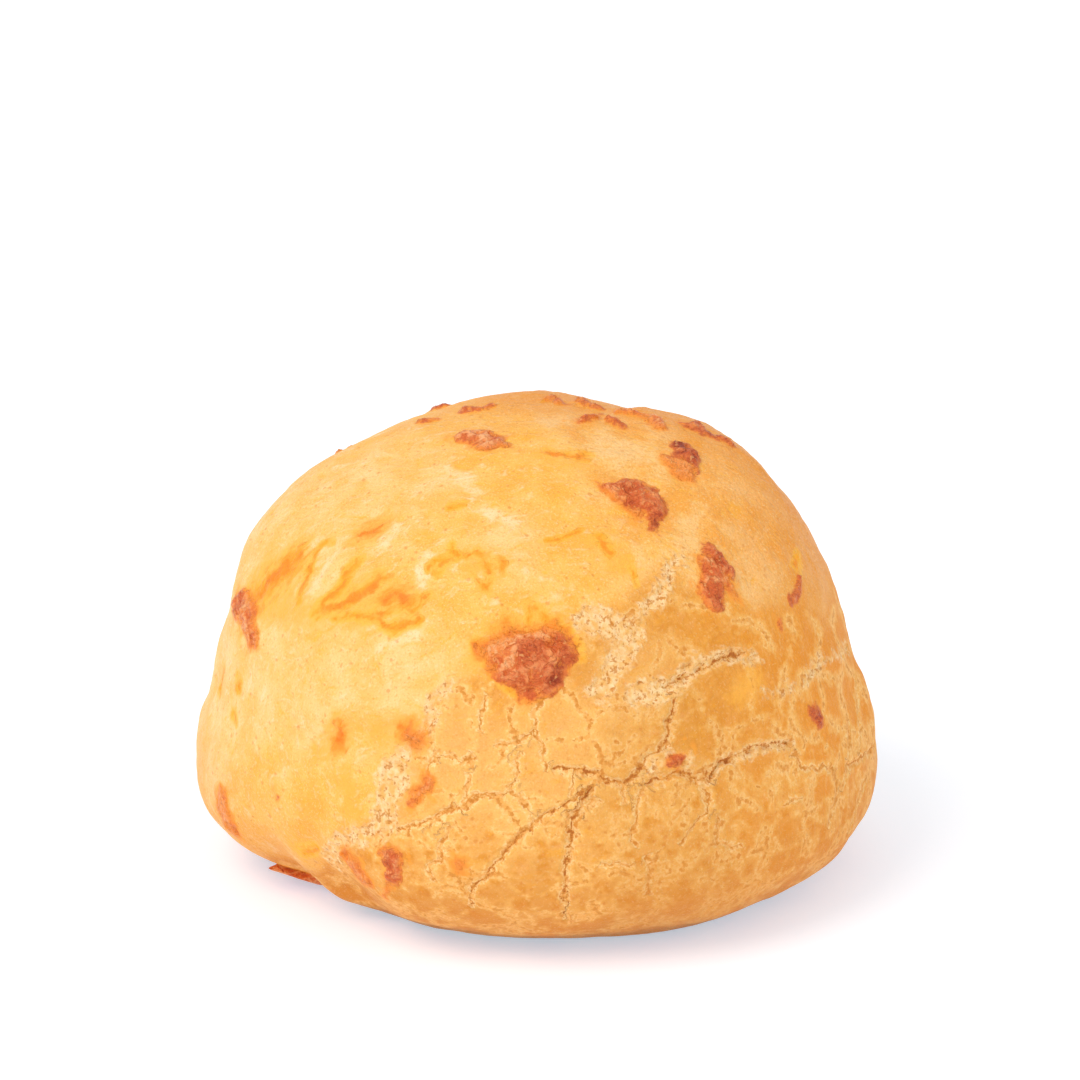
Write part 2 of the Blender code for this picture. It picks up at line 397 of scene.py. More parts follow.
# Cracks: (half width, depth, route)
CRACKS = [
    (0.27, 0.2, [(2.5, 41), (8.5, 41.4), (12, 42.2), (15, 42.8), (18.5, 41.6), (23.5, 39), (25.5, 36)]),
    (0.27, 0.22, [(18, 43.2), (25, 42.6), (30, 43.5), (33.5, 42.5), (39, 42), (42, 41.8), (50.5, 43)]),
    (0.27, 0.25, [(24, 34.5), (29.5, 33.8), (34, 33.4), (38, 33.1), (43, 33)]),
    (0.1, 0.08, [(51, 44), (52.5, 45.5), (61, 47)]),
    (0.34, 0.34, [(9, 43.2), (6, 45.5), (5.8, 48)]),
    (0.26, 0.24, [(5.8, 48), (5, 51.5), (4.5, 52.8), (5.5, 57)]),
    (0.2, 0.16, [(8, 43.2), (0, 45.9), (-5, 48.6), (-8.5, 51.3), (-11.5, 53), (-12.5, 55)]),
    (0.13, 0.12, [(-24.5, 47.8), (-18.5, 46.4), (-12, 44.4), (-5, 43.2)]),
    (0.1, 0.1, [(-19, 40.2), (-20.5, 43.5)]),
    (0.09, 0.08, [(-19, 40.2), (-13.5, 40.8), (-11.5, 40.2)]),
    (0.09, 0.08, [(-12.5, 41.8), (-12, 44), (-15.5, 45.8), (-18.5, 47)]),
    (0.09, 0.08, [(-12, 44), (-9, 43.5), (-5, 43.2), (-4, 41), (-3.5, 39.8)]),
    (0.08, 0.08, [(-9.5, 34.5), (-10.5, 36.5), (-10.5, 37.8)]),
    (0.1, 0.1, [(-8, 39), (-5, 38.8), (-1, 37.8)]),
    (0.07, 0.06, [(1, 41), (1, 40), (0, 38), (-1, 36), (2, 34)]),
    (0.07, 0.06, [(-3, 43.5), (-1.5, 45.2)]),
    (0.09, 0.08, [(-15.5, 47), (-16.5, 48.5), (-16.5, 50.2), (-18.5, 50.8), (-18.5, 52.5)]),
    (0.08, 0.06, [(6, 41.5), (5.5, 43.8)]),
    (0.09, 0.08, [(8.5, 44.8), (10, 44)]),
    (0.06, 0.048, [(15, 42.8), (15, 44.5)]),
    (0.08, 0.06, [(18.5, 42.5), (17.5, 44.5), (17, 46), (16, 47.5), (16.5, 48.8)]),
    (0.12, 0.1, [(30, 43.5), (30, 45), (30, 46.2), (26.5, 48), (24.5, 49)]),
    (0.09, 0.08, [(31.5, 47.2), (31.5, 49.8), (36.5, 50.8)]),
    (0.08, 0.08, [(19, 50), (19.5, 51.2), (19, 54)]),
    (0.08, 0.06, [(10.5, 50.5), (16, 50.8)]),
    (0.06, 0.048, [(48, 48), (51.5, 48.2)]),
    (0.12, 0.2, [(66, 48), (74.5, 48.8), (84, 49.2)]),
    (0.05, 0.1, [(82, 42.5), (78, 44.5), (73.5, 47.8)]),
    (0.05, 0.08, [(71.5, 44.2), (68, 47.5), (64, 49.8)]),
    (0.05, 0.06, [(62.5, 47.5), (61.5, 50.2), (58.5, 52.2)]),
    (0.05, 0.06, [(75, 51), (70, 53), (66, 54.5)]),
]


BEHIND_SEED = 12


def wandering_route(chance, azimuth, down, length):
    """A route about that many mm long that turns at random."""
    route = [(azimuth, down)]
    heading = chance.uniform(0, 2 * np.pi)
    for _ in range(max(1, round(length / 2))):
        heading += chance.uniform(-1, 1)
        azimuth += 4 * np.cos(heading)
        down += 2 * np.sin(heading)
        route.append((azimuth, down))
    return route


def scatter_behind():
    """Adds the marks of the side that the photograph does not show."""
    chance = np.random.default_rng(BEHIND_SEED)
    for _ in range(10):
        azimuth, down = chance.uniform(118, 245), chance.uniform(16, 44)
        browned, half_width = chance.uniform(0.1, 0.9), chance.uniform(0.4, 1.3)
        LUMPS.append((half_width, 0.4, browned, wandering_route(chance, azimuth, down, chance.uniform(1, 4))))
        beside = azimuth + chance.uniform(-6, 6), down + chance.uniform(-3, 3)
        streak = wandering_route(chance, *beside, chance.uniform(3, 7))
        MELTS.append((chance.uniform(0.4, 0.9), chance.uniform(0, 1), streak))
        STAINS.append((chance.uniform(1.0, 1.8), streak))
    for _ in range(9):
        start = chance.uniform(118, 250), chance.uniform(15, 45)
        half_width, warm = chance.uniform(0.4, 1.1), chance.uniform(0, 0.8)
        MELTS.append((half_width, warm, wandering_route(chance, *start, chance.uniform(2, 8))))
    for _ in range(8):
        start = chance.uniform(118, 250), chance.uniform(15, 40)
        FOLDS.append((0.9, chance.uniform(-0.25, 0.25), wandering_route(chance, *start, 9)))
        # a painted sheen streak starts where each fold does
        PAINTED_SHEEN_STREAKS.append((chance.uniform(0.6, 1.0), wandering_route(chance, *start, 4)))
    for start in ((128, 33), (190, 37), (236, 34)):
        TEARS.append((chance.uniform(0.5, 1.0), wandering_route(chance, *start, 9)))
    for _ in range(16):
        start = chance.uniform(100, 262), chance.uniform(37, 55)
        half_width = chance.uniform(0.09, 0.2)
        CRACKS.append((half_width, 0.14, wandering_route(chance, *start, chance.uniform(4, 12))))


scatter_behind()


def stretches(points, route):
    """Each stretch of a route: its start and run, how far along it (0 to 1) points lie, and how far from it."""
    stops = [place(*stop) for stop in route]
    for start, end in zip(stops, stops[1:]):
        run = end - start
        along = (points - start) @ run / (run @ run)
        share = np.clip(along, 0, 1)
        yield start, run, along, np.linalg.norm(points - start - share[:, None] * run, axis=1)


def distance_to_route(points, route):
    """How far each point is from the line through a route's places."""
    return np.min([distance for *_, distance in stretches(points, route)], axis=0)


def side_of_route(points, outward, route):
    """Distance to a route, below zero on its left, and how far past the route's ends each point lies."""
    nearest = np.full(len(points), np.inf)
    signed = np.full(len(points), np.inf)
    past = np.zeros(len(points))
    last = len(route) - 2
    for number, (start, run, along, distance) in enumerate(stretches(points, route)):
        side = np.where((np.cross(run, points - start) * outward).sum(axis=1) < 0, 1, -1)
        over = np.zeros(len(points))
        if number == 0:
            over = np.maximum(over, -along)
        if number == last:
            over = np.maximum(over, along - 1)
        nearer = distance < nearest
        nearest = np.where(nearer, distance, nearest)
        signed = np.where(nearer, distance * side, signed)
        past = np.where(nearer, over * np.linalg.norm(run), past)
    return signed, past


# ---------------- noise

NOISE_SEED = 5
LATTICE = 256
RNG = np.random.default_rng(NOISE_SEED)
SHUFFLE = RNG.permutation(LATTICE)
SLOPES = RNG.normal(size=(LATTICE, 3))
SLOPES /= np.linalg.norm(SLOPES, axis=1, keepdims=True)
CORNERS = np.array(list(itertools.product((0, 1), repeat=3)))
SEED_SHIFT = 11.37  # how far apart in the lattice the noises of two seeds lie


def hashed(cells):
    x, y, z = (cells % LATTICE).T
    return SHUFFLE[(SHUFFLE[(SHUFFLE[x] + y) % LATTICE] + z) % LATTICE]


def noise(points, size, seed=0):
    """Smooth noise from about -1 to 1, whose lumps are about size mm across."""
    at = points / size + seed * SEED_SHIFT
    cells = np.floor(at).astype(int)
    part = at - cells
    fade = part**3 * (part * (part * 6 - 15) + 10)
    total = np.zeros(len(points))
    for corner in CORNERS:
        weight = np.where(corner, fade, 1 - fade).prod(axis=1)
        total += weight * (SLOPES[hashed(cells + corner)] * (part - corner)).sum(axis=1)
    return total * 1.5


def rough_noise(points, size, octaves, seed=0):
    layers = [noise(points, size / 2**k, seed + k) / 2**k for k in range(octaves)]
    return sum(layers) / (2 - 2 ** (1 - octaves))


def folded_noise(points, size, octaves, seed=0):
    """Noise with sharp ridges, from about 0 in the valleys to 1 on the ridges."""
    layers = [(1 - 2 * np.abs(noise(points, size / 2**k, seed + k))) / 2**k for k in range(octaves)]
    return sum(layers) / (2 - 2 ** (1 - octaves))


def wobbled(points, size, reach, seed=0):
    """The points moved by up to about reach mm by noise whose lumps are size mm across."""
    return points + reach * np.stack([noise(points, size, seed + k) for k in range(3)], axis=1)


def rising(value, low, high):
    """0 below low, 1 above high, smooth between."""
    share = np.clip((value - low) / (high - low), 0, 1)
    return share * share * (3 - 2 * share)


# ---------------- the crust's features

# Where the cracked part of the crust begins: (azimuth, distance down)
CRACKED_BELOW = [
    (-180, 34), (-120, 40), (-90, 60), (-50, 58), (-43, 53), (-28, 46), (-21, 37), (-17, 33),
    (-3, 34), (8, 28), (30, 24), (45, 29), (75, 33), (120, 32), (180, 34),
]

# Further than this from a lump, melt, tear or crack, the distance makes no difference.
FAR = 1.5

# Keeps a division by the total weight from failing where nothing is near.
LEAST_WEIGHT = 1e-6


def lump_fields(form):
    """How deep inside a cheese lump each point is in mm, how browned it is, and how far it rises."""
    frayed = wobbled(wobbled(form, 2.2, 0.8, 20), 0.9, 0.35, 24)
    inside = np.full(len(form), -FAR)
    rise = np.zeros(len(form))
    burn = np.zeros(len(form))
    weights = np.full(len(form), LEAST_WEIGHT)
    for half_width, height, browned, route in LUMPS:
        depth = half_width - distance_to_route(frayed, route)
        inside = np.maximum(inside, depth)
        rise = np.where(depth > -0.1, np.maximum(rise, height * rising(depth, -0.1, 0.75 * half_width)), rise)
        weight = rising(depth, -0.6, 0.9 * half_width)
        burn += weight * browned
        weights += weight
    return inside, burn / weights, rise


def melt_fields(form):
    """1 on the middle line of a streak of melted cheese, 0 at its edge, below 0 outside; and its warmth."""
    frayed = wobbled(wobbled(form, 1.6, 0.5, 50), 0.5, 0.15, 53)
    inside = np.full(len(form), -FAR)
    warmth = np.zeros(len(form))
    weights = np.full(len(form), LEAST_WEIGHT)
    for half_width, warm, route in MELTS:
        depth = 1 - distance_to_route(frayed, route) / half_width
        inside = np.maximum(inside, depth)
        weight = rising(depth, -1.5, 1)
        warmth += weight * warm
        weights += weight
    return inside, warmth / weights


def tear_field(form):
    """How deep inside a tear each point is, in mm."""
    frayed = wobbled(wobbled(form, 1.9, 0.6, 30), 0.6, 0.3, 33)
    inside = np.full(len(form), -FAR)
    for half_width, route in TEARS:
        inside = np.maximum(inside, half_width - distance_to_route(frayed, route))
    return inside + 0.7 * rough_noise(form, 1.8, 3, 36)


def crack_fields(form, outward):
    """Signed distance to the nearest crack, the crack's half width beside it, and its depth."""
    jagged = wobbled(wobbled(form, 1.5, 0.45, 40), 0.6, 0.22, 46)
    nearest = np.full(len(form), FAR)
    wide = np.zeros(len(form))
    depth = np.zeros(len(form))
    for half_width, deep, route in CRACKS:
        signed, past = side_of_route(jagged, outward, route)
        distance = np.abs(signed)
        nearer = distance < np.abs(nearest)
        nearest = np.where(nearer, signed, nearest)
        width = half_width * rising(distance, 0.9, 0.5) * rising(past, 0.4, 0)
        wide = np.where(nearer, width, wide)
        depth = np.where(nearer, deep, depth)
    return nearest, wide, depth


def features(form):
    """The crust's main features at points of the turned form."""
    azimuth = azimuth_degrees(form)
    down = np.interp(form[:, 2], SIDE[::-1, 1], SIDE_ALONG[::-1])
    line = np.array(CRACKED_BELOW)
    below = down - np.interp(azimuth, line[:, 0], line[:, 1])
    behind = rising(np.abs(azimuth), 95, 130)
    soft = 1.5 + behind + 2.5 * rising(azimuth, 35, 60)
    zone = rising(below + 2 * noise(form, 4.0, 44) + 4 * behind * noise(form, 9.0, 45), -soft, soft)
    lump, burn, lump_rise = lump_fields(form)
    split, wide, depth = crack_fields(form, outward_of(form))
    melt, warm = melt_fields(form)
    found = {"lump": lump, "burn": burn, "lump_rise": lump_rise, "melt": melt, "warm": warm}
    found.update({"split": split, "wide": wide, "crack_depth": depth, "zone": zone, "down": down})
    found["tear"] = tear_field(form)
    return found


def add_finer_features(form, found):
    """Adds the features that the mesh's fineness doesn't depend on."""
    azimuth = azimuth_degrees(form)
    found["fold"] = folded_noise(wobbled(form, 1.2, 0.4, 66), 1.7, 3, 70)
    found["patch"] = rough_noise(form, 3.2, 2, 90)
    found["dull"] = rising(azimuth + 10 * noise(form, 7.0, 97), 0, 55)
    pale = sum(around(form, *spot) for spot in PALE)
    found["pale"] = np.clip(pale, 0, 1) + 0.5 * rough_noise(form, 6.0, 2, 98)
    turned_away = rising(np.abs(azimuth + 10 * noise(form, 8.0, 95)), 15, 65)
    turned_away *= 1 - 0.45 * rising(np.abs(azimuth), 95, 130)
    toasted = sum(share * around(form, *spot) for *spot, share in TOASTED)
    found["brown"] = np.maximum(turned_away * found["zone"], np.minimum(toasted, 1))
    smeared = wobbled(wobbled(form, 2.0, 0.6, 110), 0.6, 0.2, 113)
    for name, marks in (("scuff", PAINTED_SHEEN_STREAKS), ("stain", STAINS)):
        found[name] = np.zeros(len(form))
        for half_width, route in marks:
            found[name] = np.maximum(found[name], hill(distance_to_route(smeared, route), half_width))


# How long the mesh's edges may be: on plain crust behind, how much less in view, and on the base
PLAIN_EDGE = 0.95
SHORTER_IN_VIEW = 0.35
BASE_EDGE = 2.0

# Behind, the edges on a feature may be longer by this share than in view.
COARSER_BEHIND = 0.7

# Where cheese and tears need a finer mesh: (feature, its value where that begins, length of edges in view)
FINE_ON = [
    ("lump", -0.2, 0.27),
    ("melt", -0.2, 0.4),
    ("tear", -0.3, 0.26),
]


def wanted_length(form):
    """How long the mesh's edges may be at each point."""
    found = features(form)
    in_view = rising(np.abs(azimuth_degrees(form)), 125, 95)
    length = PLAIN_EDGE - SHORTER_IN_VIEW * in_view
    coarser = 1 + COARSER_BEHIND - COARSER_BEHIND * in_view
    for name, begins, fine in FINE_ON:
        length = np.where(found[name] > begins, np.minimum(length, fine * coarser), length)
    from_crack = np.maximum(np.abs(found["split"]) - 0.3, 0)
    length = np.minimum(length, coarser * (0.25 + 0.6 * from_crack))
    return np.where(form[:, 2] < 0.05, BASE_EDGE, length)


def relief(form, found):
    """How far each point stands out of the smooth bread."""
    zone, wide = found["zone"], found["wide"]
    out = 0.28 * noise(form, 9.0, 1) + 0.2 * noise(form, 4.0, 2) + 0.1 * rough_noise(form, 2.0, 2, 3)
    out += zone * 0.07 * folded_noise(wobbled(form, 2, 0.5, 60), 2.6, 2, 63)
    # slack, wrinkled skin on the right, above the cracked part
    slack = rising(azimuth_degrees(form), -10, 50) * (1 - zone)
    out += slack * 0.22 * (folded_noise(wobbled(form, 3, 0.8, 120), 4.5, 3, 123) - 0.5)
    for half_width, height, route in FOLDS:
        out += height * hill(distance_to_route(wobbled(form, 3, 0.5, 64), route), 0.7 * half_width)
    # lumps are crumpled
    on_lump = rising(found["lump"], -0.05, 0.5)
    out += found["lump_rise"] + on_lump * 0.45 * (found["fold"] - 0.5) * rising(form[:, 2], 1, 4)
    # melted cheese lies in shallow folds
    ridge = folded_noise(wobbled(form, 1.5, 0.4, 75), 1.4, 2, 78)
    out += rising(found["melt"], -0.2, 0.5) * 0.22 * (ridge - 0.6)
    # tears are rough hollows with a slightly raised edge
    on_tear = rising(found["tear"], 0, 0.4)
    out -= on_tear * (0.14 + 0.24 * rough_noise(form, 0.8, 2, 82))
    out += 0.07 * rising(found["tear"], -0.6, -0.02) * (1 - on_tear)
    # cracks, beside which the plates curl up a little
    gap = np.abs(found["split"]) - wide
    opened = rising(gap, 0.35, 0) * rising(wide, 0, 0.06)
    out -= found["crack_depth"] * opened
    out += 0.05 * rising(gap, 1.0, 0.3) * rising(wide, 0, 0.03) * (1 - opened)
    return out * rising(form[:, 2], 0, 0.6)


# The features that the material reads from the mesh
FIELDS = "lump burn fold melt warm tear split wide zone down patch pale brown scuff stain dull".split()


def add_object(name, data):
    made = bpy.data.objects.new(name, data)
    bpy.context.scene.collection.objects.link(made)
    return made


def make_crust():
    directions, triangles = even_sphere(CUBE_CELLS)
    for _ in range(SPLITTING_ROUNDS):
        directions, triangles = split_long_edges(directions, triangles, wanted_length)
    form = turned(*polar(directions))
    found = features(form)
    add_finer_features(form, found)
    points = form + outward_of(form) * (bulge_rise(form) + relief(form, found))[:, None]
    mesh = bpy.data.meshes.new("crust")
    mesh.from_pydata((points * MM).tolist(), [], triangles.tolist())
    mesh.shade_smooth()
    for name in FIELDS:
        layer = mesh.attributes.new(name, "FLOAT", "POINT")
        layer.data.foreach_set("value", found[name].astype(np.float32))
    return add_object("crust", mesh)


# ---------------- nodes


def shade(red, green, blue):
    """A colour given as a screen shows it, 0 to 255, as the shader wants it."""
    parts = np.array([red, green, blue]) / 255
    return (*np.where(parts < 0.04045, parts / 12.92, ((parts + 0.055) / 1.055) ** 2.4), 1)


class Nodes:
    """Short names for the nodes that a material is built from. Sizes are in mm."""

    def __init__(self, material):
        material.use_nodes = True
        self.tree = material.node_tree
        self.shader = self.tree.nodes["Principled BSDF"]
        self.place = self.new("ShaderNodeTexCoord").outputs["Object"]

    def new(self, kind, **settings):
        node = self.tree.nodes.new(kind)
        for name, value in settings.items():
            setattr(node, name, value)
        return node

    def put(self, socket, value):
        if isinstance(value, bpy.types.NodeSocket):
            self.tree.links.new(value, socket)
        else:
            socket.default_value = value

    def field(self, name):
        return self.new("ShaderNodeAttribute", attribute_name=name).outputs["Fac"]

    def math(self, operation, a, b=0.0):
        node = self.new("ShaderNodeMath", operation=operation)
        self.put(node.inputs[0], a)
        self.put(node.inputs[1], b)
        return node.outputs["Value"]

    def times(self, *values):
        product = values[0]
        for value in values[1:]:
            product = self.math("MULTIPLY", product, value)
        return product

    def add(self, *values):
        """The sum of the values, where a tuple stands for the product of what is in it."""
        total, *others = [self.times(*value) if isinstance(value, tuple) else value for value in values]
        for value in others:
            total = self.math("ADD", total, value)
        return total

    def ramp(self, value, low, high, start=0.0, end=1.0):
        """start where the value is low, end where it is high, smooth between."""
        node = self.new("ShaderNodeMapRange", interpolation_type="SMOOTHSTEP")
        ends = (low, high, start, end) if low < high else (high, low, end, start)
        self.put(node.inputs["Value"], value)
        for name, number in zip(("From Min", "From Max", "To Min", "To Max"), ends):
            node.inputs[name].default_value = number
        return node.outputs["Result"]

    def noise_node(self, size, detail, at):
        node = self.new("ShaderNodeTexNoise")
        self.put(node.inputs["Vector"], at or self.place)
        node.inputs["Scale"].default_value = 1 / (size * MM)
        node.inputs["Detail"].default_value = detail
        node.inputs["Roughness"].default_value = 0.55
        return node

    def along(self, turn, stretch):
        """Places turned about Y by degrees, then squeezed along X, so that noise there makes streaks."""
        turned_places = self.new("ShaderNodeMapping")
        self.put(turned_places.inputs["Vector"], self.place)
        turned_places.inputs["Rotation"].default_value = (0, np.radians(turn), 0)
        squeezed = self.new("ShaderNodeMapping")
        self.put(squeezed.inputs["Vector"], turned_places.outputs["Vector"])
        squeezed.inputs["Scale"].default_value = (1 / stretch, 1, 1)
        return squeezed.outputs["Vector"]

    def noise(self, size, detail, at=None):
        """Noise from about -1 to 1."""
        return self.times(self.math("SUBTRACT", self.noise_node(size, detail, at).outputs["Fac"], 0.5), 4.0)

    def warped(self, size, reach, at=None):
        """Places moved by up to about reach mm by noise whose lumps are size mm across."""
        colour = self.noise_node(size, 1.0, at).outputs["Color"]
        shift = self.new("ShaderNodeVectorMath", operation="MULTIPLY_ADD")
        self.put(shift.inputs[0], colour)
        shift.inputs[1].default_value = (4 * reach * MM,) * 3
        shift.inputs[2].default_value = (-2 * reach * MM,) * 3
        moved = self.new("ShaderNodeVectorMath", operation="ADD")
        self.put(moved.inputs[0], at or self.place)
        self.put(moved.inputs[1], shift.outputs["Vector"])
        return moved.outputs["Vector"]

    def cells(self, size, feature, at):
        """Distance in mm to the middles (F1) or the edges (DISTANCE_TO_EDGE) of cells size mm across."""
        node = self.new("ShaderNodeTexVoronoi", feature=feature)
        self.put(node.inputs["Vector"], at)
        node.inputs["Scale"].default_value = 1 / (size * MM)
        return self.times(node.outputs["Distance"], size)

    def crumbs(self, size, at):
        """The middle of the crumb, size mm across, that each place lies in, and a number by chance for it."""
        node = self.new("ShaderNodeTexVoronoi", feature="F1")
        self.put(node.inputs["Vector"], at)
        node.inputs["Scale"].default_value = 1 / (size * MM)
        parts = self.new("ShaderNodeSeparateColor")
        self.put(parts.inputs["Color"], node.outputs["Color"])
        return node.outputs["Position"], parts.outputs["Red"]

    def between(self, share, a, b):
        """The place that lies that share of the way from a to b."""
        node = self.new("ShaderNodeMix", data_type="VECTOR")
        # its vector sockets are inputs 4 and 5 and output 1
        self.put(node.inputs[0], share)
        self.put(node.inputs[4], a)
        self.put(node.inputs[5], b)
        return node.outputs[1]

    def mix(self, share, a, b):
        """The colour that lies that share of the way from a to b: sockets, or colours as shade takes them."""
        node = self.new("ShaderNodeMix", data_type="RGBA")
        # its colour sockets are inputs 6 and 7 and output 2
        self.put(node.inputs[0], share)
        for socket, colour in ((node.inputs[6], a), (node.inputs[7], b)):
            self.put(socket, shade(*colour) if isinstance(colour, tuple) else colour)
        return node.outputs[2]


# ---------------- the crust's material

# n makes the material's nodes, and c holds the crust's fields and patterns.


def crust_patterns(n):
    """The mesh's fields, and the patterns that more than one layer uses."""
    c = SimpleNamespace(**{name: n.field(name) for name in FIELDS})
    c.grain = n.noise(0.2, 1)
    c.fine = n.noise(0.5, 2)
    c.small = n.noise(1.4, 2)
    c.worn = n.noise(0.9, 1)
    c.streak = n.noise(0.8, 2, n.along(40, 4))
    c.blotch = n.noise(1.1, 3, n.warped(3, 1.5, n.along(15, 1.7)))
    c.pitted = n.noise(0.42, 1, n.warped(0.3, 0.08))
    c.wrinkle = n.noise(0.5, 1, n.warped(2, 0.4, n.along(90, 5)))
    # both rise towards the bottom of the bread
    c.wrinkled = n.ramp(n.add(c.down, (c.patch, 5)), 38, 50)
    c.toasted = n.ramp(n.add(c.down, (c.patch, 2)), 44, 60)
    # how deep inside melted cheese, a tear or a lump, with ragged edges
    c.melting = n.add(c.melt, (c.streak, 0.25), (c.fine, 0.12))
    torn = n.add(c.tear, (c.fine, 0.35), (c.grain, 0.1), (c.small, 0.4), (c.pitted, 0.15))
    c.torn = n.ramp(torn, -0.5, 0.35, end=0.9)
    ragged = n.add(c.lump, (c.fine, 0.16), (c.grain, 0.06))
    c.cheese = n.times(ragged, n.ramp(c.burn, 0.15, 0.5, 0.5, 1))
    c.on_lump = n.ramp(c.cheese, -0.1, 0.2)
    c.creased = n.math("ABSOLUTE", n.noise(0.9, 2, n.warped(1.4, 0.5)))
    return c


def no_crack(n, c):
    """What puts the nearest crack out of reach where it has no width."""
    return n.ramp(c.wide, 0.04, 0, end=3)


def add_crack_distances(n, c):
    """Adds the distances to the named cracks and to random ones between cells whose edges follow crumbs."""
    crumb_place, chance = n.crumbs(0.36, n.warped(0.4, 0.12))
    c.uneven = n.ramp(chance, 0.1, 0.9, -0.1, 0.1)
    c.named = n.math("ABSOLUTE", n.add(c.split, c.uneven, (c.worn, 0.08), (c.grain, 0.04)))
    c.named_gap = n.add(c.named, no_crack(n, c))
    jagged = n.warped(4.5, 1, n.between(0.6, n.place, crumb_place))
    big_edge = n.cells(5.4, "DISTANCE_TO_EDGE", jagged)
    little_edge = n.cells(2.6, "DISTANCE_TO_EDGE", jagged)
    patchy = n.ramp(c.patch, 0.3, -0.3, 0.1, 0.6)
    little_gap = n.add(little_edge, patchy, n.ramp(c.wrinkled, 0.9, 0.3, end=0.8))
    closed = n.ramp(n.add(c.patch, (c.worn, 0.3)), 0.15, -0.5, end=0.9)
    outside = n.ramp(c.zone, 0.9, 0.3, end=3)
    c.random_gap = n.add(n.math("MINIMUM", big_edge, little_gap), closed, outside)
    c.gap = n.math("MINIMUM", c.named_gap, c.random_gap)


def smooth_dough(n, c):
    """Smooth dough, golden and cream in patches, and duller and mottled on the right."""
    patchy = n.add(c.patch, (c.small, 0.4))
    golden = n.mix(n.ramp(patchy, -0.5, 0.6), (252, 190, 92), (249, 176, 68))
    cream = n.mix(n.ramp(patchy, -0.6, 0.5), (253, 203, 130), (251, 188, 98))
    colour = n.mix(n.ramp(c.pale, 0.1, 0.8), golden, cream)
    chalky = n.add(c.blotch, (c.small, 0.4), (c.fine, 0.3), (c.patch, -0.3))
    colour = n.mix(n.ramp(chalky, 0.1, 1.3, end=0.75), colour, (254, 216, 160))
    colour = n.mix(n.times(c.dull, 0.65), colour, (243, 182, 104))
    mottle = n.add(c.patch, (c.blotch, 0.4), (c.wrinkle, 0.3))
    colour = n.mix(n.times(c.dull, n.ramp(mottle, 0, 0.45), 0.6), colour, (243, 160, 52))
    colour = n.mix(n.times(c.dull, n.ramp(mottle, 0.05, -0.4), 0.7), colour, (253, 206, 138))
    # pale chalky patches, with painted highlights along the sheen streaks
    chalk_and_painted_sheen = n.ramp(n.add((c.scuff, 1.5), (chalky, 0.6)), 0.6, 1.8, end=0.7)
    colour = n.mix(chalk_and_painted_sheen, colour, (255, 220, 168))
    return n.mix(n.ramp(chalky, -0.1, -1.3, end=0.75), colour, (250, 180, 56))


def plates(n, c):
    """The plates of the cracked part, with orange spots where they are wrinkled."""
    coarse = n.add(c.small, (c.fine, 0.8))
    colour = n.mix(n.ramp(coarse, -1, 1.1), (236, 164, 70), (223, 146, 49))
    colour = n.mix(n.ramp(c.patch, 0, 0.7, end=0.5), colour, (242, 176, 80))
    colour = n.mix(n.ramp(c.pale, 0.2, 1, end=0.5), colour, (250, 192, 114))
    spot = n.cells(1.45, "F1", n.warped(0.6, 0.2))
    colour = n.mix(n.times(n.ramp(spot, 0.45, 0.8), c.wrinkled, 0.65), colour, (248, 188, 104))
    colour = n.mix(n.times(n.ramp(spot, 0.4, 0.1), c.wrinkled, 0.55), colour, (230, 140, 44))
    mellow = n.add(c.blotch, (c.small, 0.4))
    colour = n.mix(n.ramp(mellow, 0.1, 1.1, end=0.6), colour, (246, 171, 52))
    return n.mix(n.ramp(mellow, -0.1, -1.1, end=0.5), colour, (239, 172, 102))


def toasting(n, c, colour):
    """Browner at the far edges, with pale wrinkles there, and towards the bottom."""
    colour = n.mix(n.times(c.brown, 0.78), colour, (234, 143, 30))
    colour = n.mix(n.times(c.brown, n.ramp(c.wrinkle, 0.1, 1), 0.5), colour, (248, 186, 106))
    low = n.times(c.toasted, n.ramp(c.zone, 0, 1, 0.4, 0.85))
    return n.mix(low, colour, (213, 130, 38))


def plate_edges(n, c, colour):
    """Plates grow paler towards their edges, crumbly at them, with painted brown shade in the gaps between
    them.
    """
    strength = n.ramp(c.down, 45, 60, 0.7, 0.45)
    rim = n.ramp(n.add(c.gap, (c.fine, 0.2), (c.grain, 0.06)), 1.2, 0.2)
    colour = n.mix(n.times(rim, strength), colour, (249, 191, 104))
    crumbled = n.ramp(n.add(c.gap, (c.fine, 0.14), (c.pitted, -0.12)), 0.42, 0.26)
    colour = n.mix(n.times(crumbled, strength), colour, (252, 203, 130))
    from_named = n.add(c.named_gap, (c.fine, 0.12), (c.pitted, -0.12), (c.wide, -0.6))
    colour = n.mix(n.ramp(from_named, 0.36, 0.2, end=0.6), colour, (254, 214, 150))
    # painted warm shade in the gaps
    gap_shade = n.ramp(n.add(c.gap, (c.grain, 0.03)), 0.32, 0.1, end=0.75)
    return n.mix(gap_shade, colour, (236, 162, 70))


def painted_low_shade(n, c, colour):
    """Painted shade, deeper brown, over the plates: low down on the right, where they start to turn to the
    right, and at the base.
    """
    # painted shade low down on the right
    low = n.times(c.toasted, c.zone, n.ramp(c.dull, 0, 0.4), 0.22)
    colour = n.mix(low, colour, (206, 124, 42))
    # painted shade where the plates turn to the right
    turning_shade = n.times(n.ramp(c.dull, 0.02, 0.12), n.ramp(c.dull, 0.98, 0.6, 0.15, 1))
    colour = n.mix(n.times(turning_shade, c.zone, 0.2), colour, (200, 130, 50))
    # painted shade along the base, where the bread meets the floor
    base_shade = n.ramp(n.add(c.down, (c.small, 0.5)), 60.5, 62.5, end=0.6)
    return n.mix(base_shade, colour, (180, 108, 44))


